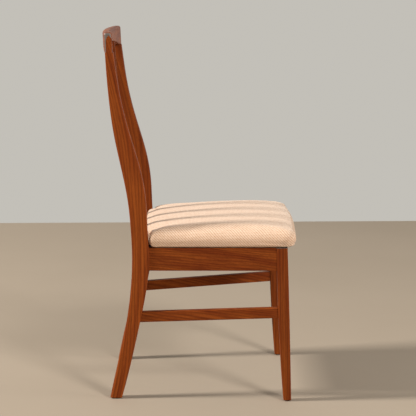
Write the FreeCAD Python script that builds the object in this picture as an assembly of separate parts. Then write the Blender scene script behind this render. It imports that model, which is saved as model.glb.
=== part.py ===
import FreeCAD, Part
import math
import os
from FreeCAD import Placement, Rotation, Vector

# A high-back dining chair: a wooden frame with three back slats and a
# curved crest rail, and an upholstered seat pad screwed down onto the rails.
#
# Millimetres. +Z is up, X runs across the chair and the sitter faces -Y.
# The origin is on the floor, in the middle of the chair's plan, so the
# sitter's right-hand side is at -X. The frame is drawn for that side and
# mirrored for the other.

# ---------------------------------------------------------------- driving dimensions

total_height = 965.0
overall_depth = 512.0
rear_half_width = 192.0        # outer faces of the rear legs
front_half_width = 222.0       # outer faces of the front legs

stile_thickness = 26.0         # rear legs, measured across the chair
leg_top_thickness = 30.0       # front legs, measured across the chair
leg_foot_thickness = 22.0
small_edge_radius = 3.0        # rounding of the legs' long edges
stile_top_radius = 6.0         # the rear edge of the stile softens to this at the top

seat_rise = 0.0142             # the seat climbs this much for each unit forwards
rail_top_height = 408.4        # top of the seat rails above the floor, at Y = 0
rail_height = 60.0
rail_thickness = 20.0
rear_rail_thickness = 26.0
rail_set_back = 3.5            # the rails stand this far inside the legs' faces
rail_edge_radius = 2.0

stretcher_mid_height = 214.2   # underside of the side stretchers, at Y = 0
stretcher_rise = 0.0497
stretcher_height = 28.0
stretcher_thickness = 18.0
stretcher_set_back = 6.0

crest_end_height = 51.0
crest_arch = 17.6              # how far the underside rises in the middle
crest_thickness = 21.0
crest_lean = 2.0               # the crest's top stands this far behind its foot
crest_edge_radius = 6.5
crest_end_radius = 6.5         # the upright edges at the ends of the crest

slat_spacing = 92.0
slat_width = 20.0
slat_thickness = 12.0
slat_foot_y = 166.0

glide_height = 3.0
glide_diameter = 15.0
glide_rear_y = 226.7
glide_front_y = -225.5
nail_length = 16.0
nail_radius = 1.1
nail_tip_radius = 0.3

# Joints: a stile's finger runs up into the crest rail, tenons hold the
# stretchers and slats, and dowels hold the rails and the crest.
finger_thickness = 12.0
finger_half_width = 7.5
finger_middle = 230.5
finger_spring_drop = 21.0      # where the finger's pointed arch starts, below the top
finger_tip_drop = 8.0
finger_root = 1.0              # how far the finger starts inside the stile
finger_shoulder_share = 0.62   # how far up its arch the finger's shoulders are
finger_shoulder_width = 0.6    # half width there, as a part of the full one
tenon_thickness = 8.0
tenon_height = 18.0
tenon_rear_end = 172.0
tenon_front_end = -215.0
slat_tenon_width = 14.0
slat_tenon_thickness = 7.0
slat_tenon_length = 12.0
slat_tenon_root = 6.0          # the part of a tenon block that stays in the slat
dowel_diameter = 8.0
dowel_reach = 20.0             # length of a dowel on each side of its joint
side_dowel_drops = (16.0, 42.0)     # below the top of the rails
cross_dowel_drops = (28.0, 53.0)    # other levels, so that the dowels never meet

# Corner braces and screws.
brace_gap_front = 28.0         # clear of the front leg's corner
brace_gap_rear = 40.0          # clear of the rear leg's corner
brace_width = 26.0
brace_height = 36.0
brace_drop = 2.0               # top of the braces below the rails
screw_diameter = 4.0
screw_head_diameter = 8.0
screw_head_height = 2.5
screw_seat = 7.0               # wood left under the head in the brace
screw_bite = 14.0              # length driven into the rail
pocket_depth = 20.0
pocket_diameter = 9.0
seat_screw_diameter = 5.0
seat_screw_head = 10.0
seat_screw_head_height = 3.5
seat_screw_bite = 9.0

# Seat pad. Its heights are measured from the tops of the rails.
pad_overhang = 4.0             # the pad stands out past the legs' outer faces
pad_crown_height = 58.5
pad_dome_radius = 1800.0
pad_dome_centre = -95.0
pad_corner_y = -247.0          # front corners, before they are rounded
pad_shoulder_y = 136.0         # back of the pad beside the stiles
pad_back_y = 157.0             # back of the pad between the stiles
pad_neck_x = 163.0             # half width of the part between the stiles
pad_front_corner_radius = 30.0
pad_rear_corner_radius = 16.0
pad_neck_radius = 15.5
pad_inside_radius = 4.0
pad_top_radius = 14.0
pad_bottom_radius = 8.0
cover_thickness = 1.5
hem_width = 45.0
board_thickness = 12.0
board_inset = 16.0             # lets the cloth roll under the pad's edge
board_corner_radius = 9.0
dust_thickness = 0.8
dust_clearance = 3.0
dust_front_cut = 16.0          # the dust cover's corners are cut off by this much
dust_rear_cut = 20.0
staple_crown = 10.0
staple_wire = 1.2
staple_flat = 0.6              # thickness of the flattened wire
staple_depth = 6.0
staple_inset = 6.0
staple_gap = 42.0

# ---------------------------------------------------------------- derived places

back_reach = overall_depth / 2
front_reach = -overall_depth / 2
crest_foot = total_height - crest_end_height
stile_inner_x = rear_half_width - stile_thickness
leg_inner_x = front_half_width - leg_top_thickness

# Side view of the rear leg, as (Y, Z) points from the foot upwards. The leg
# sweeps back below the seat, stands upright at the rails and leans back above.
rear_leg_back_edge = [
    (242.4, glide_height), (216.6, 117), (197.5, 205), (184, 300), (179.6, 380), (182.2, 460),
    (189.2, 535), (205, 620), (223.5, 715), (233.6, 800), (238.8, 870), (241, crest_foot),
]
rear_leg_front_edge = [
    (211.0, glide_height), (181.5, 117), (161.5, 205), (146.8, 275), (137.6, 335), (134.6, 375),
    (136.2, 408), (139.0, 455), (142.0, 530), (155.6, 613), (185.1, 717), (207.6, 819),
    (216.0, 880), (220, crest_foot),
]


def seat_plane(y):
    """Height of the top of the rails at Y."""
    return rail_top_height - seat_rise * y


# Side view of the front leg: both edges run down and slightly forwards.
front_leg_front_edge = [(-223.8, seat_plane(-223.8)), (-229.2, 250), (-235.6, glide_height)]
front_leg_back_edge = [(-195, seat_plane(-195)), (-197, 340), (-206.8, 120), (-215.5, glide_height)]

rear_joint_y = 134.6           # where the side rail meets the rear leg
front_joint_y = -195.5         # where it meets the front leg
front_rail_face = -221.0       # front of the front rail
rear_rail_face = 174.5         # back of the rear rail
front_rail_inner = front_rail_face + rail_thickness
rear_rail_inner = rear_rail_face - rear_rail_thickness

crest_end_back = 241.0
crest_end_front = crest_end_back - crest_thickness
crest_middle_back = back_reach - crest_lean * (1 - crest_edge_radius / crest_end_height)
finger_spring = total_height - finger_spring_drop
finger_tip = total_height - finger_tip_drop


# ---------------------------------------------------------------- helpers

def stretcher_under(y):
    """Height of the underside of a side stretcher at Y."""
    return stretcher_mid_height - stretcher_rise * y


def line_x(y, rear_x, front_x):
    """X at Y on the straight line between the rear and front leg joints."""
    part = (y - rear_joint_y) / (front_joint_y - rear_joint_y)
    return rear_x + part * (front_x - rear_x)


def rail_inner_x(y):
    """Inner face of the side rails, as a distance from the middle."""
    slant = math.hypot(front_half_width - rear_half_width, rear_joint_y - front_joint_y)
    inset = rail_set_back + rail_thickness * slant / (rear_joint_y - front_joint_y)
    return line_x(y, rear_half_width - inset, front_half_width - inset)


def smooth_edge(points):
    """A smooth curve through the points."""
    curve = Part.BSplineCurve()
    curve.interpolate([Vector(*p) for p in points])
    return curve.toShape()


def face_from(points):
    """A flat face inside a closed polygon."""
    corners = [Vector(*p) for p in points]
    return Part.Face(Part.makePolygon(corners + corners[:1]))


def side_view_prism(front_edge, back_edge, x_start, x_end):
    """Extrude across X the area between two smooth side-view edges, both listed
    from the same end."""
    front = [(x_start, y, z) for y, z in front_edge]
    back = [(x_start, y, z) for y, z in back_edge]
    ends = [Part.makeLine(Vector(*front[0]), Vector(*back[0])),
            Part.makeLine(Vector(*front[-1]), Vector(*back[-1]))]
    wire = Part.Wire(Part.__sortEdges__([smooth_edge(front), ends[1], smooth_edge(back), ends[0]]))
    return Part.Face(wire).extrude(Vector(x_end - x_start, 0, 0))


def long_edges(shape, least_length, test=lambda edge: True):
    """Edges at least this long that pass the test."""
    return [e for e in shape.Edges if e.Length >= least_length and test(e)]


def middle_of(edge):
    return edge.valueAt((edge.FirstParameter + edge.LastParameter) / 2)


def is_upright(edge):
    middle = (edge.FirstParameter + edge.LastParameter) / 2
    return abs(edge.tangentAt(middle).z) > 0.99


def cylinder_between(start, end, diameter):
    run = end - start
    return Part.makeCylinder(diameter / 2, run.Length, start, run)


def mirrored(shape):
    return shape.mirror(Vector(0, 0, 0), Vector(1, 0, 0))


def both_sides(shapes):
    """The right side's shapes together with their mirror images."""
    return shapes + [mirrored(shape) for shape in shapes]


def largest_solid(shape):
    """The main part of a cut shape, without the offcuts."""
    return max(shape.Solids, key=lambda solid: solid.Volume)


def save(name, shape):
    """Write one node, a solid or a group of separate solids."""
    if not shape.isValid():
        raise ValueError(name + " is not a valid shape")
    shape.exportStep("parts/" + name + ".step")


# ---------------------------------------------------------------- legs

def rear_leg_blank():
    """The right rear leg before its edges are rounded."""
    return side_view_prism(rear_leg_front_edge, rear_leg_back_edge, -rear_half_width, -stile_inner_x)


def stile_finger():
    """The stile's pointed tip, which is let into the end of the crest rail."""
    x = -rear_half_width
    low = crest_foot - finger_root
    left = finger_middle - finger_half_width
    right = finger_middle + finger_half_width
    shoulder = finger_spring + finger_shoulder_share * (finger_tip - finger_spring)
    bulge = finger_shoulder_width * finger_half_width
    tip = Vector(x, finger_middle, finger_tip)
    wire = Part.Wire([
        Part.makeLine(Vector(x, left, low), Vector(x, left, finger_spring)),
        Part.Arc(Vector(x, left, finger_spring), Vector(x, finger_middle - bulge, shoulder), tip).toShape(),
        Part.Arc(tip, Vector(x, finger_middle + bulge, shoulder), Vector(x, right, finger_spring)).toShape(),
        Part.makeLine(Vector(x, right, finger_spring), Vector(x, right, low)),
        Part.makeLine(Vector(x, right, low), Vector(x, left, low)),
    ])
    return Part.Face(wire).extrude(Vector(finger_thickness, 0, 0))


def rear_leg():
    """The right rear leg and back stile in one piece, with its edges rounded."""
    blank = rear_leg_blank()
    half_height = total_height / 2
    middle_y = blank.CenterOfMass.y - stile_thickness / 2
    front = long_edges(blank, half_height, lambda e: middle_of(e).y < middle_y)
    back = long_edges(blank, half_height, lambda e: middle_of(e).y >= middle_y)
    back_middles = [middle_of(e) for e in back]
    leg = blank.makeFillet(small_edge_radius, front)
    back = long_edges(leg, half_height,
                      lambda e: any(middle_of(e).distanceToPoint(m) < 1 for m in back_middles))
    leg = leg.makeFillet(small_edge_radius, stile_top_radius, back)
    return leg.fuse(stile_finger()).removeSplitter()


def front_leg_blank():
    """The right front leg before its edges are rounded: its inner face tapers."""
    leg = side_view_prism(front_leg_front_edge, front_leg_back_edge, -front_half_width, -leg_inner_x)
    foot_inner = front_half_width - leg_foot_thickness
    top = seat_plane(front_reach)
    clear_x = -leg_inner_x + 5
    waste = [(-foot_inner, 0), (-leg_inner_x, top), (clear_x, top), (clear_x, 0)]
    waste = face_from([(x, front_reach, z) for x, z in waste])
    return leg.cut(waste.extrude(Vector(0, -front_reach, 0)))


def front_leg():
    blank = front_leg_blank()
    return blank.makeFillet(small_edge_radius, long_edges(blank, rail_top_height / 2))


# ---------------------------------------------------------------- seat rails and stretchers

def sloping_bar(outer_rear, outer_front, thickness, low, high, radius, overrun):
    """A straight bar along the right side of the chair. Its outer face passes
    through X = -outer_rear and X = -outer_front at the two leg joints, low and
    high give its bottom and top at Y, and it overruns both joints."""
    rear = Vector(-outer_rear, rear_joint_y, 0)
    front = Vector(-outer_front, front_joint_y, 0)
    run = front - rear
    run.normalize()
    inward = Vector(-run.y, run.x, 0) * thickness
    start = rear - run * overrun
    end = front + run * overrun
    upright = face_from([start, end, end + inward, start + inward]).extrude(Vector(0, 0, total_height))
    x = -overall_depth
    y = overall_depth
    layer = face_from([(x, y, low(y)), (x, -y, low(-y)), (x, -y, high(-y)), (x, y, high(y))])
    bar = upright.common(layer.extrude(Vector(-x, 0, 0)))
    if radius:
        bar = bar.makeFillet(radius, long_edges(bar, overall_depth / 3))
    return bar


def side_rail_blank():
    return sloping_bar(rear_half_width - rail_set_back, front_half_width - rail_set_back, rail_thickness,
                       lambda y: seat_plane(y) - rail_height, seat_plane, rail_edge_radius, 12.0)


def stretcher_blank():
    return sloping_bar(rear_half_width - stretcher_set_back, front_half_width - stretcher_set_back,
                       stretcher_thickness, stretcher_under,
                       lambda y: stretcher_under(y) + stretcher_height, small_edge_radius, 30.0)


def stretcher_tenons():
    """A slim bar through the stretcher's heart, whose ends are its tenons."""
    inset = stretcher_set_back + (stretcher_thickness - tenon_thickness) / 2
    margin = (stretcher_height - tenon_height) / 2
    bar = sloping_bar(rear_half_width - inset, front_half_width - inset, tenon_thickness,
                      lambda y: stretcher_under(y) + margin,
                      lambda y: stretcher_under(y) + margin + tenon_height, 0, 40.0)
    room = Part.makeBox(front_half_width, tenon_rear_end - tenon_front_end, rail_top_height,
                        Vector(-front_half_width, tenon_front_end, 0))
    return bar.common(room)


def cross_rail(y_low, y_high, half_length):
    """A rail across the chair between two Y values, its top in the seat plane."""
    outline = [(-half_length, y_low, seat_plane(y_low) - rail_height),
               (-half_length, y_high, seat_plane(y_high) - rail_height),
               (-half_length, y_high, seat_plane(y_high)),
               (-half_length, y_low, seat_plane(y_low))]
    rail = face_from(outline).extrude(Vector(2 * half_length, 0, 0))
    return rail.makeFillet(rail_edge_radius, long_edges(rail, half_length))


# ---------------------------------------------------------------- back

def crest_underside(x):
    """Height of the crest rail's arched underside at X."""
    half_span = stile_inner_x
    radius = (half_span ** 2 + crest_arch ** 2) / (2 * crest_arch)
    return crest_foot + crest_arch - radius + math.sqrt(radius ** 2 - x ** 2)


def crest_back(x):
    """Y of the crest rail's back face at X, at the height of its foot."""
    sag = crest_middle_back - crest_end_back
    radius = (rear_half_width ** 2 + sag ** 2) / (2 * sag)
    return crest_middle_back - radius + math.sqrt(radius ** 2 - x ** 2)


def crest_blank():
    """The bowed crest rail with its arched underside, before rounding."""
    w = rear_half_width
    z = crest_foot
    front_middle = crest_middle_back - crest_thickness
    corners = [Vector(-w, crest_end_back, z), Vector(w, crest_end_back, z),
               Vector(w, crest_end_front, z), Vector(-w, crest_end_front, z)]
    wire = Part.Wire([
        Part.Arc(corners[0], Vector(0, crest_middle_back, z), corners[1]).toShape(),
        Part.makeLine(corners[1], corners[2]),
        Part.Arc(corners[2], Vector(0, front_middle, z), corners[3]).toShape(),
        Part.makeLine(corners[3], corners[0]),
    ])
    body = Part.Face(wire).extrude(Vector(0, crest_lean, crest_end_height))
    span = stile_inner_x
    y = crest_end_front - crest_thickness
    low = z - crest_edge_radius
    arch = Part.Wire([
        Part.Arc(Vector(-span, y, z), Vector(0, y, z + crest_arch), Vector(span, y, z)).toShape(),
        Part.makeLine(Vector(span, y, z), Vector(span, y, low)),
        Part.makeLine(Vector(span, y, low), Vector(-span, y, low)),
        Part.makeLine(Vector(-span, y, low), Vector(-span, y, z)),
    ])
    return body.cut(Part.Face(arch).extrude(Vector(0, 4 * crest_thickness, 0)))


def crest_rounded():
    """The crest rail with its ends, top and arched underside rounded."""
    blank = crest_blank()
    ends = long_edges(blank, crest_end_height - 1,
                      lambda e: e.Length < crest_end_height + 1 and abs(middle_of(e).x) > stile_inner_x)
    body = blank.makeFillet(crest_end_radius, ends)
    top = long_edges(body, 1, lambda e: middle_of(e).z > total_height - 0.01)
    body = body.makeFillet(crest_edge_radius, top)
    under = long_edges(body, stile_inner_x,
                       lambda e: abs(middle_of(e).z - crest_foot - crest_arch) < small_edge_radius)
    return body.makeFillet(small_edge_radius, under)


def slat_edges(x):
    """Side-view centre of the slat at X: it rises from the rear rail, leans
    back and ends in the middle of the crest rail."""
    head = crest_back(x) - crest_thickness / 2
    return [(slat_foot_y, 395), (slat_foot_y + 2.0, 450), (178.5, 520), (193.5, 600), (211, 680),
            (225, 755), (head - 5.5, 850), (head, 940)]


def slat_blank(x):
    middle = slat_edges(x)
    half = slat_thickness / 2
    slat = side_view_prism([(y - half, z) for y, z in middle], [(y + half, z) for y, z in middle],
                           x - slat_width / 2, x + slat_width / 2)
    return slat.makeFillet(small_edge_radius, long_edges(slat, total_height / 3))


def slat_tenon(x, y, z):
    """One upright tenon block, z at its lower end."""
    corner = Vector(x - slat_tenon_width / 2, y - slat_tenon_thickness / 2, z)
    return Part.makeBox(slat_tenon_width, slat_tenon_thickness, slat_tenon_length + slat_tenon_root, corner)


def back_slat(x, crest, rail):
    """A slat with its shoulders trimmed to the crest and the rear rail."""
    body = largest_solid(slat_blank(x).cut(crest).cut(rail))
    head_y = crest_back(x) - crest_thickness / 2
    low = slat_tenon(x, slat_foot_y, seat_plane(slat_foot_y) - slat_tenon_length)
    high = slat_tenon(x, head_y, crest_underside(x) - slat_tenon_root)
    return body.fuse([low, high]).removeSplitter()


# ---------------------------------------------------------------- corner braces and fixings

def brace_corner(front):
    """Where the inner faces of a cross rail and the right side rail meet, and
    how far along each of them the brace starts."""
    y = front_rail_inner if front else rear_rail_inner
    gap = brace_gap_front if front else brace_gap_rear
    return Vector(-rail_inner_x(y), y, 0), gap


def along_side_rail(front):
    """Unit direction along the right side rail's inner face, towards mid chair."""
    run = Vector(-(rail_inner_x(front_joint_y) - rail_inner_x(rear_joint_y)), front_joint_y - rear_joint_y, 0)
    run.normalize()
    return run * (-1 if front else 1)


def brace_levels(front):
    """Bottom and top of a brace, whose top stays below the sloping seat plane."""
    rearmost = front_rail_inner + brace_gap_front + brace_width if front else rear_rail_inner
    top = seat_plane(rearmost) - brace_drop
    return top - brace_height, top


def corner_brace(front):
    """A strip of wood across one corner of the seat frame."""
    corner, gap = brace_corner(front)
    across = Vector(1, 0, 0)
    along = along_side_rail(front)
    far = gap + brace_width
    low, high = brace_levels(front)
    points = [corner + across * gap, corner + across * far, corner + along * far, corner + along * gap]
    return face_from([(p.x, p.y, low) for p in points]).extrude(Vector(0, 0, high - low))


def pan_screw(head_seat, direction, length, diameter, head_diameter, head_height):
    """A screw with a low round head, head_seat being the underside of the head."""
    shank = cylinder_between(head_seat, head_seat + direction * length, diameter)
    head = cylinder_between(head_seat - direction * head_height, head_seat, head_diameter)
    return shank.fuse(head).removeSplitter()


def brace_screw_places(front):
    """Head seat and direction of the two screws in one brace."""
    corner, gap = brace_corner(front)
    low, high = brace_levels(front)
    middle = gap + 0.42 * brace_width
    lift = Vector(0, 0, (low + high) / 2)
    into_cross = Vector(0, -1 if front else 1, 0)
    along = along_side_rail(front)
    into_side = along.cross(Vector(0, 0, 1))
    if into_side.x > 0:
        into_side = into_side * -1
    return [(corner + Vector(1, 0, 0) * middle - into_cross * screw_seat + lift, into_cross),
            (corner + along * middle - into_side * screw_seat + lift, into_side)]


def brace_screws(front):
    return [pan_screw(seat, way, screw_seat + screw_bite, screw_diameter, screw_head_diameter,
                      screw_head_height)
            for seat, way in brace_screw_places(front)]


def screw_pockets(front):
    """The round pockets that let the screw heads into the brace."""
    return [cylinder_between(seat, seat - way * pocket_depth, pocket_diameter)
            for seat, way in brace_screw_places(front)]


def seat_screw(front):
    """The upright screw from a brace into the seat board."""
    corner, gap = brace_corner(front)
    middle = (gap + brace_width / 2) / 2
    spot = corner + (Vector(1, 0, 0) + along_side_rail(front)) * middle
    low, high = brace_levels(front)
    spot.z = low
    length = seat_plane(spot.y) + cover_thickness + seat_screw_bite - low
    return pan_screw(spot, Vector(0, 0, 1), length, seat_screw_diameter, seat_screw_head,
                     seat_screw_head_height)


def rail_dowels():
    """The right side's dowels: two in each end of the side, front and rear rails."""
    run = along_side_rail(True)
    dowels = []
    half_rail = rail_set_back + rail_thickness / 2
    for drop in side_dowel_drops:
        rear = Vector(-(rear_half_width - half_rail), rear_joint_y, seat_plane(rear_joint_y) - drop)
        front = Vector(-(front_half_width - half_rail), front_joint_y, seat_plane(front_joint_y) - drop)
        dowels.append(cylinder_between(rear - run * dowel_reach, rear + run * dowel_reach, dowel_diameter))
        dowels.append(cylinder_between(front - run * dowel_reach, front + run * dowel_reach, dowel_diameter))
    across = Vector(dowel_reach, 0, 0)
    for drop in cross_dowel_drops:
        y = front_rail_face + rail_thickness / 2
        front = Vector(-leg_inner_x, y, seat_plane(y) - drop)
        dowels.append(cylinder_between(front - across, front + across, dowel_diameter))
        y = rear_rail_face - rear_rail_thickness / 2
        rear = Vector(-stile_inner_x, y, seat_plane(y) - drop)
        dowels.append(cylinder_between(rear - across, rear + across, dowel_diameter))
    return dowels


def crest_dowel():
    """The dowel between the right stile's shoulder and the crest rail."""
    x = -(stile_inner_x + (stile_thickness - finger_thickness) / 2)
    low = Vector(x, finger_middle, crest_foot - dowel_reach)
    return cylinder_between(low, low + Vector(0, 0, 1.5 * dowel_reach), dowel_diameter)


def foot_glide(x, y):
    """A nail-on glide: a domed disc with a short nail into the end of the leg."""
    disc = Part.makeCylinder(glide_diameter / 2, glide_height, Vector(x, y, 0))
    rim = [e for e in disc.Edges if middle_of(e).z < 0.01 and e.Length > 3 * glide_diameter]
    disc = disc.makeFillet(glide_height / 3, rim)
    nail = Part.makeCone(nail_radius, nail_tip_radius, nail_length, Vector(x, y, glide_height))
    return disc.fuse(nail).removeSplitter()


# ---------------------------------------------------------------- seat pad

def pad_side_x(y):
    return line_x(y, rear_half_width, front_half_width) + pad_overhang


def pad_outline(inset):
    """Plan of the seat pad, as a face: a trapezium with a slightly bowed front
    and a neck that reaches back between the stiles."""
    front_y = pad_corner_y + inset
    front_x = pad_side_x(front_y) - inset
    rear_x = pad_side_x(pad_shoulder_y) - inset
    back_y = pad_back_y - inset
    shoulder_y = pad_shoulder_y - inset
    neck_x = pad_neck_x - inset
    left_half = [(neck_x, back_y), (neck_x, shoulder_y), (rear_x, shoulder_y), (front_x, front_y)]
    corners = [(-x, y) for x, y in reversed(left_half)] + left_half
    sides = Part.makePolygon([Vector(x, y, 0) for x, y in corners])
    front = Part.Arc(Vector(front_x, front_y, 0), Vector(0, front_reach + inset, 0),
                     Vector(-front_x, front_y, 0)).toShape()
    return Part.Face(Part.Wire(sides.Edges + [front]))


def pad_slab(inset, low, high):
    """An upright slab over the pad's plan, shrunk by inset, its corners rounded."""
    slab = pad_outline(inset).extrude(Vector(0, 0, high - low))
    slab.translate(Vector(0, 0, low))

    def uprights(low_y, high_y, by_the_neck=False):
        return [e for e in slab.Edges
                if is_upright(e) and low_y < middle_of(e).y < high_y
                and (abs(middle_of(e).x) < pad_neck_x + 1) == by_the_neck]

    past_shoulder = pad_shoulder_y + 1
    slab = slab.makeFillet(pad_front_corner_radius - inset, uprights(front_reach, 0))
    slab = slab.makeFillet(pad_rear_corner_radius - inset, uprights(0, back_reach))
    slab = slab.makeFillet(pad_neck_radius - inset, uprights(past_shoulder, back_reach, True))
    return slab.makeFillet(pad_inside_radius + inset, uprights(0, past_shoulder, True))


def pad_body(inset):
    """The whole upholstered pad, shrunk by inset. Its foot is at Z = 0 before it
    is shrunk, its top is a shallow dome and its edges are well rounded."""
    dome = Part.makeSphere(pad_dome_radius - inset,
                           Vector(0, pad_dome_centre, pad_crown_height - pad_dome_radius))
    body = pad_slab(inset, inset, 2 * pad_crown_height).common(dome)
    low_third = pad_crown_height / 3
    top = [e for e in body.Edges if e.Length > 1 and middle_of(e).z > low_third and not is_upright(e)]
    body = body.makeFillet(pad_top_radius - inset, top)
    bottom = [e for e in body.Edges if middle_of(e).z < inset + 0.01]
    return body.makeFillet(pad_bottom_radius - inset, bottom)


def on_the_seat(shape):
    """Lay a shape drawn on Z = 0 onto the sloping tops of the rails."""
    tilt = -math.degrees(math.atan(seat_rise))
    lay = Placement(Vector(0, 0, rail_top_height), Rotation(Vector(1, 0, 0), tilt))
    shape.Placement = lay.multiply(shape.Placement)
    return shape


def seat_cover():
    """The fabric: a skin over the pad, turned in under the board as a hem."""
    skin = pad_body(0).cut(pad_body(cover_thickness))
    opening = pad_outline(hem_width).extrude(Vector(0, 0, 2 * cover_thickness))
    opening.translate(Vector(0, 0, -cover_thickness / 2))
    return skin.cut(opening)


def seat_board():
    board = pad_outline(board_inset).extrude(Vector(0, 0, board_thickness))
    board.translate(Vector(0, 0, cover_thickness))
    return board.makeFillet(board_corner_radius, [e for e in board.Edges if is_upright(e)])


def seat_foam():
    return pad_body(cover_thickness).cut(seat_board())


def dust_outline():
    """Corners of the dust cover, clear of the rails and of the legs' corners."""
    front_y = front_rail_inner + dust_clearance
    rear_y = rear_rail_inner - dust_clearance
    half = [(rail_inner_x(front_y) - dust_clearance - dust_front_cut, front_y),
            (rail_inner_x(front_y + dust_front_cut) - dust_clearance, front_y + dust_front_cut),
            (rail_inner_x(rear_y - dust_rear_cut) - dust_clearance, rear_y - dust_rear_cut),
            (rail_inner_x(rear_y) - dust_clearance - dust_rear_cut, rear_y)]
    return half + [(-x, y) for x, y in reversed(half)]


def seat_dust_cover():
    sheet = face_from([(x, y, -dust_thickness) for x, y in dust_outline()])
    return sheet.extrude(Vector(0, 0, dust_thickness))


def staple(x, y, angle):
    """A staple whose crown lies flat under the dust cover, turned by angle."""
    low = -dust_thickness - staple_flat
    left = -staple_crown / 2
    right = staple_crown / 2 - staple_flat
    crown = Part.makeBox(staple_crown, staple_wire, staple_flat, Vector(left, -staple_wire / 2, low))
    legs = [Part.makeBox(staple_flat, staple_wire, staple_depth, Vector(x_low, -staple_wire / 2, low))
            for x_low in (left, right)]
    shape = crown.fuse(legs).removeSplitter()
    shape.rotate(Vector(0, 0, 0), Vector(0, 0, 1), angle)
    shape.translate(Vector(x, y, 0))
    return shape


def dust_staples():
    """Staples at even gaps, a little inside the four main sides of the dust cover."""
    corners = dust_outline()
    staples = []
    for a, b in zip(corners, corners[1:] + corners[:1]):
        start = Vector(a[0], a[1], 0)
        run = Vector(b[0], b[1], 0) - start
        count = int(run.Length // staple_gap)
        way = Vector(run)
        way.normalize()
        inward = Vector(-way.y, way.x, 0) * staple_inset
        angle = math.degrees(math.atan2(way.y, way.x))
        for i in range(count):
            spot = start + way * (run.Length * (i + 0.5) / count) + inward
            staples.append(staple(spot.x, spot.y, angle))
    return staples


# ---------------------------------------------------------------- assembly

def save_sides(dowels, crest_dowels, screws, seat_screws):
    """The right-hand pieces, named as the sitter sees them, and their mirror images."""
    tenons = stretcher_tenons()
    stretcher = stretcher_blank()
    rail = side_rail_blank()
    for leg in (rear_leg_blank(), front_leg_blank()):
        stretcher = stretcher.cut(leg)
        rail = rail.cut(leg)
    stretcher = largest_solid(stretcher).fuse(tenons).removeSplitter()
    glide_rear = foot_glide(-(rear_half_width - stile_thickness / 2), glide_rear_y)
    glide_front = foot_glide(-(front_half_width - leg_foot_thickness / 2), glide_front_y)
    pieces = {
        "rear_leg": rear_leg().cut(dowels + crest_dowels + [tenons, glide_rear]),
        "front_leg": front_leg().cut(dowels + [tenons, glide_front]),
        "side_rail": largest_solid(rail).cut(dowels + screws),
        "side_stretcher": stretcher,
        "corner_brace_front": corner_brace(True).cut(screws + screw_pockets(True) + seat_screws),
        "corner_brace_rear": corner_brace(False).cut(screws + screw_pockets(False) + seat_screws),
        "foot_glide_rear": glide_rear,
        "foot_glide_front": glide_front,
    }
    for name, shape in pieces.items():
        save(name + "_right", shape)
        save(name + "_left", mirrored(shape))


def save_front_rail(dowels, screws):
    rail = cross_rail(front_rail_face, front_rail_inner, front_half_width)
    rail = largest_solid(rail.cut(both_sides([front_leg_blank()])))
    save("front_rail", rail.cut(dowels + screws))


def save_back(dowels, crest_dowels, screws):
    """The rear rail, the slats that stand in it and the crest rail over them."""
    rail = cross_rail(rear_rail_inner, rear_rail_face, rear_half_width)
    rail = largest_solid(rail.cut(both_sides([rear_leg_blank()])))
    slats = []
    for side, x in (("right", -slat_spacing), ("centre", 0.0), ("left", slat_spacing)):
        slat = back_slat(x, crest_blank(), rail)
        save("back_slat_" + side, slat)
        slats.append(slat)
    save("rear_rail", rail.cut(dowels + screws + slats))
    save("crest_rail", crest_rounded().cut(slats + both_sides([stile_finger()]) + crest_dowels))


def save_seat_pad(seat_screws):
    save("seat_board", on_the_seat(seat_board()).cut(seat_screws))
    save("seat_foam", on_the_seat(seat_foam()))
    save("seat_cover", on_the_seat(seat_cover()).cut(seat_screws))
    save("seat_dust_cover", on_the_seat(seat_dust_cover()).cut(seat_screws))
    save("dust_cover_staples", Part.makeCompound([on_the_seat(s) for s in dust_staples()]))


def build():
    os.makedirs("parts", exist_ok=True)
    dowels = both_sides(rail_dowels())
    crest_dowels = both_sides([crest_dowel()])
    screws = brace_screws(True) + brace_screws(False)
    seat_screws = [seat_screw(True), seat_screw(False)]
    save_sides(dowels, crest_dowels, screws, seat_screws)
    screws = both_sides(screws)
    seat_screws = both_sides(seat_screws)
    save_front_rail(dowels, screws)
    save_back(dowels, crest_dowels, screws)
    save_seat_pad(seat_screws)
    save("rail_dowels", Part.makeCompound(dowels))
    save("crest_dowels", Part.makeCompound(crest_dowels))
    save("brace_screws", Part.makeCompound(screws))
    save("seat_screws", Part.makeCompound(seat_screws))


build()
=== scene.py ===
import math

import bpy
import numpy as np
from mathutils import Matrix, Vector


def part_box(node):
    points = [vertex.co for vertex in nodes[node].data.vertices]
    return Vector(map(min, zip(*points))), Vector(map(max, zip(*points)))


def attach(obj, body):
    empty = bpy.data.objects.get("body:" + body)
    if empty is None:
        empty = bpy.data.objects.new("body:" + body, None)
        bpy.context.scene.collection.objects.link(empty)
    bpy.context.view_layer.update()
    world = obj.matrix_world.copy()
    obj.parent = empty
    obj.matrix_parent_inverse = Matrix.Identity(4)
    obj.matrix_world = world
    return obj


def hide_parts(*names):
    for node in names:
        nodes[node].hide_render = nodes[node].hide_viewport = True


# A high-back dining chair with an upholstered seat. Metres, +Z up, the sitter
# faces -Y and their right-hand side is at -X.

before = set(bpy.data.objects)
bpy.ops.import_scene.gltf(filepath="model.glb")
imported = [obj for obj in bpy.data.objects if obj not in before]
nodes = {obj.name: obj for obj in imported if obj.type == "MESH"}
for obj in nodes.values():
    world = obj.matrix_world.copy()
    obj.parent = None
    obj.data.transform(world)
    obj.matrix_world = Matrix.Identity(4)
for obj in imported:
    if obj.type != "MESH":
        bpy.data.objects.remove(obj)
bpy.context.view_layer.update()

# ---------------------------------------------------------------- places from the frame

pad_low, pad_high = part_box("seat_cover")
stile_low, stile_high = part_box("rear_leg_right")
front_rail_low, front_rail_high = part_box("front_rail")
rear_rail_low, rear_rail_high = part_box("rear_rail")
dust_low, dust_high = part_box("seat_dust_cover")

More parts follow.
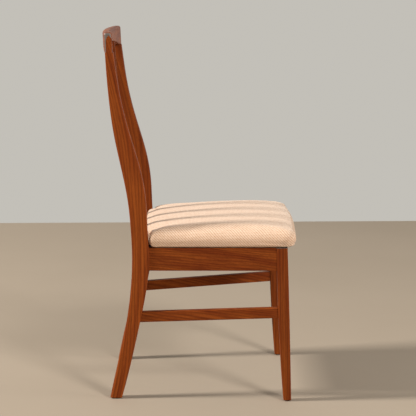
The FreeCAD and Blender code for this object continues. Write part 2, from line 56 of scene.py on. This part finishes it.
seat_rise = (front_rail_high.z - rear_rail_high.z) / (rear_rail_low.y - front_rail_low.y)
neck_gap = 0.003
neck_half_width = -stile_high.x - neck_gap     # the pad's neck reaches back between the stiles
stile_edge_round = 0.0012
shoulder_y = stile_low.y + stile_edge_round    # the pad's rear corners touch the stiles here
side_taper = 0.0909                            # the pad's sides close in towards the back


def rail_top(y):
    """Height of the tops of the rails at Y; they climb towards the front."""
    return rear_rail_high.z + seat_rise * (rear_rail_low.y - y)


# ---------------------------------------------------------------- shader helpers

def new_shader(name):
    material = bpy.data.materials.new(name)
    material.use_nodes = True
    return material, material.node_tree, material.node_tree.nodes["Principled BSDF"]


def feed(tree, node, inputs):
    """Set each input to a constant, or link it where the value is a socket."""
    for key, value in inputs.items():
        if isinstance(value, bpy.types.NodeSocket):
            tree.links.new(value, node.inputs[key])
        else:
            node.inputs[key].default_value = value
    return node


def add(tree, kind, inputs=None, **settings):
    node = tree.nodes.new(kind)
    for key, value in settings.items():
        setattr(node, key, value)
    return feed(tree, node, inputs or {})


def calc(tree, operation, a, b=0.0, c=0.0):
    return add(tree, "ShaderNodeMath", {0: a, 1: b, 2: c}, operation=operation).outputs[0]


def split(tree, vector):
    return add(tree, "ShaderNodeSeparateXYZ", {0: vector}).outputs


def combine(tree, x, y, z):
    return add(tree, "ShaderNodeCombineXYZ", {0: x, 1: y, 2: z}).outputs[0]


def stretch(tree, vector, factors):
    return add(tree, "ShaderNodeVectorMath", {0: vector, 1: factors}, operation="MULTIPLY").outputs[0]


def noise(tree, vector, scale, detail=2.0, roughness=0.5):
    node = add(tree, "ShaderNodeTexNoise",
               {"Vector": vector, "Scale": scale, "Detail": detail, "Roughness": roughness})
    return node.outputs[0]


def ramp(tree, value, stops):
    """A colour ramp; stops are (position, grey level) or (position, colour)."""
    node = add(tree, "ShaderNodeValToRGB", {0: value})
    band = node.color_ramp
    while len(band.elements) < len(stops):
        band.elements.new(1.0)
    for element, (position, colour) in zip(band.elements, stops):
        element.position = position
        rgb = (colour, colour, colour) if isinstance(colour, float) else colour
        element.color = (*rgb, 1.0)
    return node.outputs[0]


def mix(tree, factor, a, b, blend="MIX"):
    """Blend two colours, each an (r, g, b) or a socket."""
    a = a if isinstance(a, bpy.types.NodeSocket) else (*a, 1.0)
    b = b if isinstance(b, bpy.types.NodeSocket) else (*b, 1.0)
    node = add(tree, "ShaderNodeMix", {0: factor, 6: a, 7: b}, data_type="RGBA", blend_type=blend)
    return node.outputs[2]


def bump(tree, height, strength, distance, under=None):
    inputs = {"Height": height, "Strength": strength, "Distance": distance}
    if under is not None:
        inputs["Normal"] = under
    return add(tree, "ShaderNodeBump", inputs).outputs[0]


# ---------------------------------------------------------------- wood

teak_light = (0.385, 0.092, 0.015)
teak_middle = (0.255, 0.050, 0.009)
teak_dark = (0.070, 0.011, 0.003)
# A pale taupe painted sheen, laid on the end faces of the teak boards.
end_grain_painted_sheen = (0.155, 0.138, 0.122)
oiled_gloss = 0.08
sweep_middle = 0.42            # height at which the rear legs stand upright
leg_sweep = 0.30               # how fast the swept grain curves away from there
grain_fall = 0.13
pith_distance = 0.35           # from the middle of the tree to the board
ring_flattening = 1.4
rings_per_metre = 115.0
ring_drift = 11.0              # how many rings the slow drift can move
board_shift = (0.31, 0.17, 0.73)   # every board is cut from its own place in the tree

# Noise scales: two across the grain, then one along it.
drift_scale = (9.0, 9.0, 1.1)
waver_scale = (60.0, 60.0, 5.0)
streak_scale = (300.0, 300.0, 5.0)
pore_scale = (1500.0, 1500.0, 45.0)
band_scale = (60.0, 60.0, 3.0)
fleck_scale = (900.0, 900.0, 60.0)
figure_scale = (120.0, 120.0, 7.0)


def board_place(tree, along, seed, sweep):
    """Where a point lies in the tree: two places across the grain, then one
    along it; and its two places across the grain within its own board. A swept
    board's grain follows the curve of the leg, and the grain of a board along Y
    falls a little towards the front."""
    x, y, z = split(tree, add(tree, "ShaderNodeTexCoord").outputs["Object"])
    if along == "Y":
        z = calc(tree, "MULTIPLY_ADD", y, -grain_fall, z)
    if sweep:
        rise = calc(tree, "ABSOLUTE", calc(tree, "SUBTRACT", z, sweep_middle))
        lean = calc(tree, "POWER", rise, 2.0)
        y = calc(tree, "SUBTRACT", y, calc(tree, "MULTIPLY", lean, sweep))
    order = {"X": (y, z, x), "Y": (x, z, y), "Z": (x, y, z)}[along]
    shift = tuple(seed * step for step in board_shift)
    in_board = combine(tree, *order)
    spot = add(tree, "ShaderNodeVectorMath", {0: in_board, 1: shift}, operation="ADD").outputs[0]
    return spot, order[:2]


def teak(name, along, seed, sweep=0.0, tone_and_shade=1.0, gloss=oiled_gloss):
    """Oiled teak: long wandering growth rings, broad bands, dark pore streaks and fine fibre, and a
    pale taupe painted sheen on the end grain where the board is cut across."""
    material, tree, shader = new_shader(name)
    spot, (a, b) = board_place(tree, along, seed, sweep)
    drift = noise(tree, stretch(tree, spot, drift_scale), 1.0, 2.0)
    waver = noise(tree, stretch(tree, spot, waver_scale), 1.0, 2.0)
    from_pith_a = calc(tree, "POWER", calc(tree, "ADD", a, pith_distance), 2.0)
    from_pith_b = calc(tree, "POWER", calc(tree, "MULTIPLY", b, ring_flattening), 2.0)
    pith = calc(tree, "SQRT", calc(tree, "ADD", from_pith_a, from_pith_b))
    drifted = calc(tree, "MULTIPLY", drift, ring_drift)
    rings = calc(tree, "MULTIPLY_ADD", pith, rings_per_metre, drifted)
    ring = calc(tree, "FRACT", calc(tree, "MULTIPLY_ADD", waver, 0.9, rings))
    late_wood = ramp(tree, ring, [(0.0, 0.65), (0.12, 0.0), (0.50, 0.10), (0.90, 1.0), (1.0, 0.65)])
    streaks = noise(tree, stretch(tree, spot, streak_scale), 1.0, 3.0, 0.6)
    pores = noise(tree, stretch(tree, spot, pore_scale), 1.0, 2.0, 0.6)
    pore_lines = ramp(tree, pores, [(0.38, 1.0), (0.50, 0.0)])
    bands = noise(tree, stretch(tree, spot, band_scale), 1.0, 2.0)
    colour = mix(tree, ramp(tree, bands, [(0.36, 0.0), (0.64, 1.0)]), teak_light, teak_middle)
    colour = mix(tree, calc(tree, "MULTIPLY", late_wood, 0.45), colour, teak_dark)
    colour = mix(tree, ramp(tree, streaks, [(0.45, 0.0), (0.78, 0.50)]), colour, teak_dark)
    colour = mix(tree, calc(tree, "MULTIPLY", pore_lines, 0.30), colour, teak_dark)
    facing = split(tree, add(tree, "ShaderNodeNewGeometry").outputs["Normal"])["XYZ".index(along)]
    # Painted sheen: end faces are mixed towards a pale taupe in place of a glossy reflection.
    end_sheen_mask = ramp(tree, calc(tree, "ABSOLUTE", facing), [(0.55, 0.0), (0.90, 0.95)])
    colour = mix(tree, end_sheen_mask, colour, end_grain_painted_sheen)
    # Scaled by the board's tone, which on the far rear leg and the slats is painted shade.
    colour = mix(tree, 1.0, colour, (tone_and_shade, tone_and_shade, tone_and_shade), "MULTIPLY")
    shine = calc(tree, "MULTIPLY_ADD", streaks, 0.16, 0.40)
    shine = calc(tree, "MULTIPLY_ADD", pore_lines, 0.10, shine)
    relief = calc(tree, "MULTIPLY_ADD", pore_lines, -0.6, calc(tree, "MULTIPLY", streaks, 0.5))
    feed(tree, shader, {"Base Color": colour, "Roughness": shine, "Specular IOR Level": gloss,
                        "Normal": bump(tree, relief, 0.18, 0.0006)})
    return material


def bare_wood(name, along, seed, light, dark, plies=0.0):
    """Unfinished planed wood; plies gives the thickness of plywood's layers."""
    material, tree, shader = new_shader(name)
    spot = board_place(tree, along, seed, 0.0)[0]
    fleck = noise(tree, stretch(tree, spot, fleck_scale), 1.0, 2.0)
    figure = noise(tree, stretch(tree, spot, figure_scale), 1.0, 3.0)
    colour = mix(tree, ramp(tree, figure, [(0.35, 0.0), (0.68, 1.0)]), light, dark)
    flecks = ramp(tree, fleck, [(0.52, 0.0), (0.62, 1.0)])
    colour = mix(tree, calc(tree, "MULTIPLY", flecks, 0.4), colour, dark)
    if plies:
        z = split(tree, add(tree, "ShaderNodeTexCoord").outputs["Object"])[2]
        layer = calc(tree, "GREATER_THAN", calc(tree, "FRACT", calc(tree, "DIVIDE", z, 2 * plies)), 0.5)
        colour = mix(tree, calc(tree, "MULTIPLY", layer, 0.45), colour, dark)
    shine = calc(tree, "MULTIPLY_ADD", figure, 0.15, 0.55)
    feed(tree, shader, {"Base Color": colour, "Roughness": shine,
                        "Normal": bump(tree, fleck, 0.15, 0.0004)})
    return material


# ---------------------------------------------------------------- metal, plastic and cloth

glide_brown = (0.045, 0.032, 0.024)
glide_scuffed = (0.13, 0.10, 0.08)


def metal(name, colour, rough):
    """Plated steel with faint drawn lines and dull patches."""
    material, tree, shader = new_shader(name)
    spot = add(tree, "ShaderNodeTexCoord").outputs["Object"]
    patches = noise(tree, spot, 400.0, 3.0)
    lines = noise(tree, stretch(tree, spot, (300.0, 300.0, 4000.0)), 1.0, 1.0)
    tint = mix(tree, patches, colour, tuple(0.7 * c for c in colour))
    feed(tree, shader, {"Base Color": tint, "Metallic": 1.0,
                        "Roughness": calc(tree, "MULTIPLY_ADD", patches, 0.25, rough),
                        "Normal": bump(tree, lines, 0.1, 0.0002)})
    return material


def glide_plastic():
    """Hard dark plastic, moulded with a fine matt texture and a little scuffed."""
    material, tree, shader = new_shader("glide_plastic")
    spot = add(tree, "ShaderNodeTexCoord").outputs["Object"]
    grain = noise(tree, spot, 2500.0, 2.0)
    scuffs = noise(tree, spot, 160.0, 4.0, 0.65)
    worn = ramp(tree, scuffs, [(0.5, 0.0), (0.72, 1.0)])
    tint = mix(tree, worn, glide_brown, glide_scuffed)
    feed(tree, shader, {"Base Color": tint, "Roughness": calc(tree, "MULTIPLY_ADD", scuffs, 0.3, 0.35),
                        "Normal": bump(tree, grain, 0.15, 0.0002)})
    return material


fabric_light = (0.93, 0.755, 0.60)
fabric_dark = (0.50, 0.235, 0.105)
weave_period = 0.0050
weave_depth = 0.0008
lining_light = (0.030, 0.030, 0.032)
lining_dark = (0.012, 0.012, 0.013)
lining_period = 0.0016
lining_depth = 0.0002
crossing_height = 0.28         # of the threads where they cross, as a share of the weave
slant_height = 0.22            # and of the ones that run down towards the front
cloth_bend = 0.006             # how far the pattern wanders
blend_sharpness = 6.0          # how suddenly one side's pattern gives way to the next
upright_painted_shade = 0.20             # painted shade: faces that stand upright are darkened towards the dark thread colour


def weave_height(tree, u, v, period):
    """A twill of small diamonds: raised threads on the slant, the ones that run
    down towards the front standing higher, 0 to 1."""
    turn = math.tau / period / math.sqrt(2)
    along = calc(tree, "SINE", calc(tree, "MULTIPLY", calc(tree, "SUBTRACT", u, v), turn))
    across = calc(tree, "SINE", calc(tree, "MULTIPLY", calc(tree, "ADD", u, v), turn))
    crossing = calc(tree, "MULTIPLY_ADD", calc(tree, "MULTIPLY", along, across), crossing_height, 0.5)
    return calc(tree, "MULTIPLY_ADD", along, slant_height, crossing)


def woven_cloth(name, light, dark, period, depth, sheen):
    """Woven cloth whose pattern is laid on from above, the side and the front
    and blended by which way the surface faces."""
    material, tree, shader = new_shader(name)
    spot = add(tree, "ShaderNodeTexCoord").outputs["Object"]
    ripple = noise(tree, spot, 9.0, 2.0)
    x, y, z = split(tree, spot)
    bend = calc(tree, "MULTIPLY", ripple, cloth_bend)
    x, y, z = (calc(tree, "ADD", value, bend) for value in (x, y, z))
    facing = split(tree, add(tree, "ShaderNodeNewGeometry").outputs["Normal"])
    weights = [calc(tree, "POWER", calc(tree, "ABSOLUTE", side), blend_sharpness) for side in facing]
    total = calc(tree, "ADD", calc(tree, "ADD", weights[0], weights[1]), weights[2])
    patterns = [weave_height(tree, u, v, period) for u, v in ((y, z), (x, z), (x, y))]
    height = 0.0
    for weight, pattern in zip(weights, patterns):
        height = calc(tree, "MULTIPLY_ADD", weight, pattern, height)
    height = calc(tree, "DIVIDE", height, total)
    fuzz = noise(tree, spot, 2200.0, 2.0, 0.6)
    slub = noise(tree, stretch(tree, spot, (60.0, 60.0, 140.0)), 1.0, 3.0)
    thread = calc(tree, "MULTIPLY_ADD", fuzz, 0.35, calc(tree, "MULTIPLY", height, 0.8))
    colour = mix(tree, ramp(tree, thread, [(0.20, 0.0), (0.78, 1.0)]), dark, light)
    colour = mix(tree, ramp(tree, slub, [(0.45, 0.0), (0.85, 0.22)]), colour, dark)
    # Painted shade: upright faces are mixed towards the dark colour, so the sides come out darker than
    # the top.
    upright = calc(tree, "SUBTRACT", 1.0, calc(tree, "ABSOLUTE", facing[2]))
    colour = mix(tree, calc(tree, "MULTIPLY", upright, upright_painted_shade), colour, dark)
    fine = bump(tree, fuzz, 0.2, 0.0003)
    shine = calc(tree, "MULTIPLY_ADD", fuzz, 0.12, 0.82)
    feed(tree, shader, {"Base Color": colour, "Roughness": shine,
                        "Sheen Weight": sheen, "Sheen Roughness": 0.5, "Specular IOR Level": 0.25,
                        "Normal": bump(tree, height, 0.6, depth, fine)})
    return material


# ---------------------------------------------------------------- mesh helpers

def mesh_object(name, vertices, faces, material):
    mesh = bpy.data.meshes.new(name)
    mesh.from_pydata([tuple(v) for v in vertices], [], faces)
    mesh.materials.append(material)
    piece = bpy.data.objects.new(name, mesh)
    bpy.context.scene.collection.objects.link(piece)
    return piece


def coordinates(piece):
    flat = np.empty(3 * len(piece.data.vertices))
    piece.data.vertices.foreach_get("co", flat)
    return flat.reshape(-1, 3)


def set_coordinates(piece, places):
    piece.data.vertices.foreach_set("co", places.ravel())
    piece.data.update()


def apply_modifiers(piece):
    bpy.context.view_layer.objects.active = piece
    shaped = bpy.data.meshes.new_from_object(piece.evaluated_get(bpy.context.evaluated_depsgraph_get()))
    piece.modifiers.clear()
    piece.data = shaped


def smooth_shading(piece):
    piece.data.polygons.foreach_set("use_smooth", [True] * len(piece.data.polygons))


corner_steps = 8               # straight steps round each rounded corner


def rounded_outline(corners, step):
    """Even points around a closed outline; corners are (x, y, radius)."""
    places = []
    count = len(corners)
    for i, (x, y, radius) in enumerate(corners):
        here = Vector((x, y))
        back = (Vector(corners[i - 1][:2]) - here).normalized()
        ahead = (Vector(corners[(i + 1) % count][:2]) - here).normalized()
        half = back.angle(ahead) / 2
        middle = here + (back + ahead).normalized() * (radius / math.sin(half))
        start = here + back * (radius / math.tan(half)) - middle
        end = here + ahead * (radius / math.tan(half)) - middle
        turn = start.angle_signed(end)
        for k in range(corner_steps + 1):
            angle = -turn * k / corner_steps
            places.append(middle + Matrix.Rotation(angle, 2) @ start)
    lengths = [0.0]
    for a, b in zip(places, places[1:] + places[:1]):
        lengths.append(lengths[-1] + (b - a).length)
    number = round(lengths[-1] / step)
    even = np.arange(number) * lengths[-1] / number
    closed = places + places[:1]
    return np.column_stack([np.interp(even, lengths, [p.x for p in closed]),
                            np.interp(even, lengths, [p.y for p in closed])])


def ring_faces(rings, around):
    """Quads between neighbouring rings of points."""
    return [(r * around + i, r * around + (i + 1) % around,
             (r + 1) * around + (i + 1) % around, (r + 1) * around + i)
            for r in range(rings - 1) for i in range(around)]


# ---------------------------------------------------------------- seat pad

crown_height = 0.0605          # above the rails
crown_y = -0.082
waist_height = 0.020           # where the sides stand out most
under_roll = 0.018             # how far in they have turned where they meet the rails
back_under_roll = 0.007        # less at the back, which lies on the rear rail
top_roll_places = (pad_low.y, -0.20, -0.12, 0.04, 0.12)
top_roll_widths = (0.010, 0.026, 0.044, 0.044, 0.008)
front_fall = (0.0120, 0.0040)  # how far the top falls to the front edge: squared, then fourth power
rear_fall = (0.0095, 0.0070)
side_fall = 0.0045
bottom_insets = (0.15, 0.08, 0.03)              # rings that fill in the underside
top_insets = (0.015, 0.04, 0.07, 0.10, 0.13)    # and the top
under_steps = 5                                 # steps round the lower and the upper roll
over_steps = 8
front_round = 0.027            # radii of the pad's corners in plan
rear_round = 0.008
inside_round = 0.003
neck_round = 0.014
front_bow = 0.0095             # the front edge stands this far ahead of its corners
front_bow_radius = 2.4
front_lead = 0.0025            # makes up for what the rounding takes off the front
swell = 0.003                  # the most that the filling pushes the cloth out
swell_frames = 20
filling_pressure = 4.0
cloth_mass = 0.3
cloth_stiffness = 15.0
cloth_bending = 0.8
least_move = 1e-9              # stands in for no move at all, so that nothing is divided by zero
pinned_height = 0.006          # the cloth is held to the board below this height
voxel = 0.005
resting_gap = 0.0002           # between the pad and the rails
neck_play = neck_gap / 3       # how far the neck may stand out towards the stiles


def pad_corners():
    """Corners of the pad's plan on the sitter's left, with their radii."""
    front_x = pad_high.x + side_taper * front_round
    rear_x = front_x - side_taper * (shoulder_y - pad_low.y)
    back_y = pad_high.y - swell / 2
    return [(front_x, pad_low.y - front_lead + front_bow, front_round),
            (rear_x, shoulder_y, rear_round),
            (neck_half_width, shoulder_y, inside_round),
            (neck_half_width - swell / 2, back_y, neck_round)]


def pad_top(x, y):
    """Height of the pad's top above the rails, before its edges turn down."""
    if y < crown_y:
        reach = (y - crown_y) / (crown_y - pad_low.y)
        fall = front_fall
    else:
        reach = (y - crown_y) / (pad_high.y - crown_y)
        fall = rear_fall
    drop = fall[0] * reach ** 2 + fall[1] * reach ** 4
    return crown_height - drop - side_fall * (x / pad_high.x) ** 2 - swell / 2


def top_roll(y):
    """How far in the sides have turned over into the top: most in the middle."""
    return float(np.interp(y, top_roll_places, top_roll_widths))


def bottom_roll(y):
    """How far in the sides have turned where they meet the rails."""
    return float(np.interp(y, (shoulder_y, pad_high.y), (under_roll, back_under_roll)))


def pad_blank(material):
    """A closed form from rings that run over the pad from below to above."""
    left = pad_corners()
    front_middle = [(0.0, pad_low.y - front_lead, front_bow_radius)]
    right = [(-x, y, r) for x, y, r in reversed(left)]
    outline = rounded_outline(front_middle + left + right, voxel)
    centre_y = (pad_low.y + pad_high.y) / 2
    half_depth = (pad_high.y - pad_low.y) / 2
    # Each section is (inset, part of the bottom roll, part of the top roll, base height,
    # share of the way from that height up to the top).
    sections = [(inset, 0.0, 0.0, 0.0, 0.0) for inset in bottom_insets]
    for k in range(under_steps + 1):
        angle = math.pi / 2 * k / under_steps
        sections.append((0.0, 1 - math.sin(angle), 0.0, waist_height * (1 - math.cos(angle)), 0.0))
    for k in range(1, over_steps + 1):
        angle = math.pi / 2 * k / over_steps
        sections.append((0.0, 0.0, 1 - math.cos(angle), waist_height, math.sin(angle)))
    sections += [(inset, 0.0, 1.0, waist_height, 1.0) for inset in top_insets]
    vertices = []
    for inset, under, over, low, share in sections:
        for px, py in outline:
            scale = 1 - (inset + under * bottom_roll(py) + over * top_roll(py)) / half_depth
            x = px * scale
            y = centre_y + (py - centre_y) * scale
            height = low + share * (pad_top(x, y) - low)
            vertices.append((x, y, rail_top(y) + height))
    around = len(outline)
    faces = ring_faces(len(sections), around)
    faces.append(tuple(reversed(range(around))))
    last = (len(sections) - 1) * around
    faces.append(tuple(range(last, last + around)))
    return mesh_object("seat_pad", vertices, faces, material)


def swell_pad(pad):
    """Let the filling push the cloth out a little, the board staying flat."""
    resting = pad.vertex_groups.new(name="board")
    start = coordinates(pad)
    on_board = [i for i, (x, y, z) in enumerate(start) if z < rail_top(y) + pinned_height]
    resting.add(on_board, 1.0, "REPLACE")
    cloth = pad.modifiers.new("swell", "CLOTH").settings
    cloth.vertex_group_mass = "board"
    cloth.use_pressure = True
    cloth.uniform_pressure_force = filling_pressure
    cloth.mass = cloth_mass
    cloth.tension_stiffness = cloth_stiffness
    cloth.compression_stiffness = cloth_stiffness
    cloth.bending_stiffness = cloth_bending
    cloth.effector_weights.gravity = 0.0
    for number in range(1, swell_frames + 1):
        bpy.context.scene.frame_set(number)
    apply_modifiers(pad)
    moved = coordinates(pad) - start
    distance = np.linalg.norm(moved, axis=1, keepdims=True)
    kept = np.minimum(1.0, swell / np.maximum(distance, least_move))
    set_coordinates(pad, start + moved * kept)
    bpy.context.scene.frame_set(1)


def keep_clear(pad):
    """Hold the pad off the rails and off the stiles that it is notched round."""
    places = coordinates(pad)
    places[:, 2] = np.maximum(places[:, 2], rail_top(places[:, 1]) + resting_gap)
    reach = neck_half_width + neck_play
    beside = np.abs(places[:, 0]) > reach
    places[beside, 1] = np.minimum(places[beside, 1], shoulder_y)
    behind = places[:, 1] > shoulder_y
    places[behind, 0] = np.clip(places[behind, 0], -reach, reach)
    set_coordinates(pad, places)


def seat_pad(material):
    """The upholstered pad, as one closed cushion of cloth over foam and board."""
    pad = pad_blank(material)
    pad.data.remesh_voxel_size = voxel
    bpy.context.view_layer.objects.active = pad
    pad.select_set(True)
    bpy.ops.object.voxel_remesh()
    swell_pad(pad)
    finer = pad.modifiers.new("finer", "SUBSURF")
    finer.levels = 1
    apply_modifiers(pad)
    keep_clear(pad)
    smooth_shading(pad)
    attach(pad, "root")
    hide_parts("seat_cover", "seat_foam")


# ---------------------------------------------------------------- dust cover

dust_sag = 0.003
dust_thickness = 0.0006
dust_front_cut = 0.016         # its corners are cut off, clear of the legs
dust_rear_cut = 0.020
dust_step = 0.012              # between points along its edge
dust_rings = 14


def dust_cover(material):
    """The black lining under the seat: stretched flat, sagging a little."""
    front = dust_low.y
    rear = dust_high.y
    wide = dust_high.x
    rear_wide = wide - side_taper * (rear - dust_rear_cut - front - dust_front_cut)
    left = [(wide - dust_front_cut, front), (wide, front + dust_front_cut),
            (rear_wide, rear - dust_rear_cut), (rear_wide - dust_rear_cut, rear)]
    corners = left + [(-x, y) for x, y in reversed(left)]
    centre = Vector((0.0, (front + rear) / 2))
    edge = []
    for a, b in zip(corners, corners[1:] + corners[:1]):
        steps = max(2, round((Vector(b) - Vector(a)).length / dust_step))
        edge.extend(Vector(a).lerp(Vector(b), k / steps) for k in range(steps))
    vertices = []
    for r in range(dust_rings):
        share = 1 - r / dust_rings
        for spot in edge:
            place = centre + (spot - centre) * share
            sag = dust_sag * (1 - share ** 2)
            vertices.append((place.x, place.y, rail_top(place.y) - dust_thickness - sag))
    around = len(edge)
    faces = ring_faces(dust_rings, around)
    last = (dust_rings - 1) * around
    faces.append(tuple(range(last, last + around)))
    sheet = mesh_object("dust_cover_cloth", vertices, faces, material)
    thick = sheet.modifiers.new("thick", "SOLIDIFY")
    thick.thickness = dust_thickness
    thick.offset = 0.0
    apply_modifiers(sheet)
    smooth_shading(sheet)
    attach(sheet, "root")
    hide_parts("seat_dust_cover")


# ---------------------------------------------------------------- finishes of the CAD pieces

# How bright each board is, as a share of the teak's own colour; the far (left) rear leg and the back
# slats are set darker as painted shade.
rear_leg_tones_and_shade = {"right": 1.0, "left": 0.80}
front_leg_tone = 0.86
side_rail_tone = 0.83
stretcher_tone = 0.88
slat_painted_shade = 0.72
crest_tone = 0.88
crest_gloss = 0.9              # the crest rail shines more than the other boards
beech_light = (0.62, 0.42, 0.25)
beech_dark = (0.45, 0.28, 0.15)
plywood_light = (0.62, 0.45, 0.28)
plywood_dark = (0.42, 0.28, 0.16)
ply_thickness = 0.0015
zinc_grey = (0.55, 0.53, 0.50)
wire_grey = (0.60, 0.60, 0.60)
legs = ("front_right", "front_left", "rear_right", "rear_left")


def finish_node(name, material):
    piece = nodes[name]
    piece.data.materials.clear()
    piece.data.materials.append(material)


def finish_frame():
    """Give every wooden and metal piece its own board or finish."""
    seed = 1
    # The far (left) rear leg's lower tone is painted shade.
    for side, leg_tone_and_shade in rear_leg_tones_and_shade.items():
        boards = {
            "rear_leg_": teak("teak_rear_leg_" + side, "Z", seed, leg_sweep, leg_tone_and_shade),
            "front_leg_": teak("teak_front_leg_" + side, "Z", seed + 1, 0.0, front_leg_tone),
            "side_rail_": teak("teak_side_rail_" + side, "Y", seed + 2, 0.0, side_rail_tone),
            "side_stretcher_": teak("teak_stretcher_" + side, "Y", seed + 3, 0.0, stretcher_tone),
        }
        for name, board in boards.items():
            finish_node(name + side, board)
        seed += len(boards)
    for side in ("right", "centre", "left"):
        # The slats' lower tone is painted shade.
        finish_node("back_slat_" + side, teak("teak_slat_" + side, "Z", seed, leg_sweep, slat_painted_shade))
        seed += 1
    finish_node("crest_rail", teak("teak_crest_rail", "X", seed, 0.0, crest_tone, crest_gloss))
    finish_node("front_rail", teak("teak_front_rail", "X", seed + 1))
    finish_node("rear_rail", teak("teak_rear_rail", "X", seed + 2))
    seed += 3
    beech = bare_wood("beech", "X", seed, beech_light, beech_dark)
    for leg in legs:
        finish_node("corner_brace_" + leg, beech)
    for name in ("rail_dowels", "crest_dowels"):
        finish_node(name, beech)
    plywood = bare_wood("plywood", "X", seed + 1, plywood_light, plywood_dark, ply_thickness)
    finish_node("seat_board", plywood)
    screw = metal("zinc_plate", zinc_grey, rough=0.25)
    finish_node("brace_screws", screw)
    finish_node("seat_screws", screw)
    finish_node("dust_cover_staples", metal("galvanised_wire", wire_grey, rough=0.30))
    glide = glide_plastic()
    for leg in legs:
        finish_node("foot_glide_" + leg, glide)


# ---------------------------------------------------------------- floor, light and camera

floor_far_edge = 2.28          # the floor ends here on the sitter's left
floor_reach = 6.0              # and here on the other sides
floor_dark = (0.37, 0.305, 0.235)
floor_light = (0.42, 0.35, 0.275)
surround = (0.545, 0.525, 0.480)
dim_surround = (0.17, 0.155, 0.135)
seat_middle = (0.0, 0.0, 0.45)
back_light_colour = (1.0, 0.95, 0.88)
front_light_colour = (1.0, 0.96, 0.91)
camera_place = (-3.5726, -0.0012, 1.1275)
camera_tip = 0.1798
camera_turn = 0.0052
camera_roll = -0.0041
camera_lens = 115.04
camera_sensor = 36.0


def floor():
    material, tree, shader = new_shader("pale_floor")
    spot = add(tree, "ShaderNodeTexCoord").outputs["Object"]
    cloud = noise(tree, spot, 1.5, 3.0)
    feed(tree, shader, {"Base Color": mix(tree, cloud, floor_dark, floor_light), "Roughness": 0.75})
    corners = [(-floor_reach, -floor_reach, 0), (floor_far_edge, -floor_reach, 0),
               (floor_far_edge, floor_reach, 0), (-floor_reach, floor_reach, 0)]
    plane = mesh_object("floor", corners, [(0, 1, 2, 3)], material)


def surroundings():
    """A pale room: bright on the sitter's left, dimmer elsewhere."""
    world = bpy.data.worlds.new("surround")
    bpy.context.scene.world = world
    world.use_nodes = True
    tree = world.node_tree
    towards = split(tree, add(tree, "ShaderNodeTexCoord").outputs["Generated"])[0]
    glow = ramp(tree, calc(tree, "MULTIPLY_ADD", towards, 0.5, 0.5), [(0.40, 0.0), (0.95, 1.0)])
    room = mix(tree, glow, dim_surround, surround)
    feed(tree, tree.nodes["Background"], {"Color": room, "Strength": 1.0})


def soft_light(name, place, aim, side, power, colour):
    """A square lamp at a place, turned towards its aim."""
    lamp = bpy.data.lights.new(name, "AREA")
    lamp.shape = "SQUARE"
    lamp.size = side
    lamp.energy = power
    lamp.color = colour
    holder = bpy.data.objects.new(name, lamp)
    holder.location = place
    holder.rotation_euler = (Vector(aim) - Vector(place)).to_track_quat("-Z", "Y").to_euler()
    bpy.context.scene.collection.objects.link(holder)


def lights():
    """A distant light behind the back that draws its slats across the seat, a
    soft key from the front on the near side, and a weak fill from the front."""
    soft_light("back_light", place=(-0.55, 5.6, 4.25), aim=(0.0, -0.05, 0.45), side=0.75, power=520.0,
               colour=back_light_colour)
    soft_light("key", place=(-3.2, -2.4, 2.8), aim=seat_middle, side=0.9, power=120.0,
               colour=front_light_colour)
    soft_light("front_fill", place=(-1.0, -4.5, 1.5), aim=seat_middle, side=1.2, power=42.0,
               colour=front_light_colour)


def camera():
    """A long lens at the sitter's right, turned about Z, tipped down and rolled."""
    sin_turn = math.sin(camera_turn)
    cos_turn = math.cos(camera_turn)
    sin_tip = math.sin(camera_tip)
    cos_tip = math.cos(camera_tip)
    right = Vector((-sin_turn, -cos_turn, 0.0))
    up = Vector((cos_turn * sin_tip, -sin_turn * sin_tip, cos_tip))
    ahead = Vector((cos_turn * cos_tip, -sin_turn * cos_tip, -sin_tip))
    rolled_right = right * math.cos(camera_roll) + up * math.sin(camera_roll)
    rolled_up = up * math.cos(camera_roll) - right * math.sin(camera_roll)
    turn = Matrix((rolled_right, rolled_up, -ahead)).transposed()
    lens = bpy.data.cameras.new("camera")
    lens.sensor_width = camera_sensor
    lens.lens = camera_lens
    holder = bpy.data.objects.new("camera", lens)
    holder.matrix_world = Matrix.Translation(camera_place) @ turn.to_4x4()
    bpy.context.scene.collection.objects.link(holder)
    bpy.context.scene.camera = holder


# ---------------------------------------------------------------- the scene

bpy.context.scene.view_settings.view_transform = "Standard"
surroundings()
floor()
lights()
camera()
finish_frame()
seat_pad(woven_cloth("seat_fabric", fabric_light, fabric_dark, weave_period, weave_depth, sheen=0.25))
dust_cover(woven_cloth("lining", lining_light, lining_dark, lining_period, lining_depth, sheen=0.1))
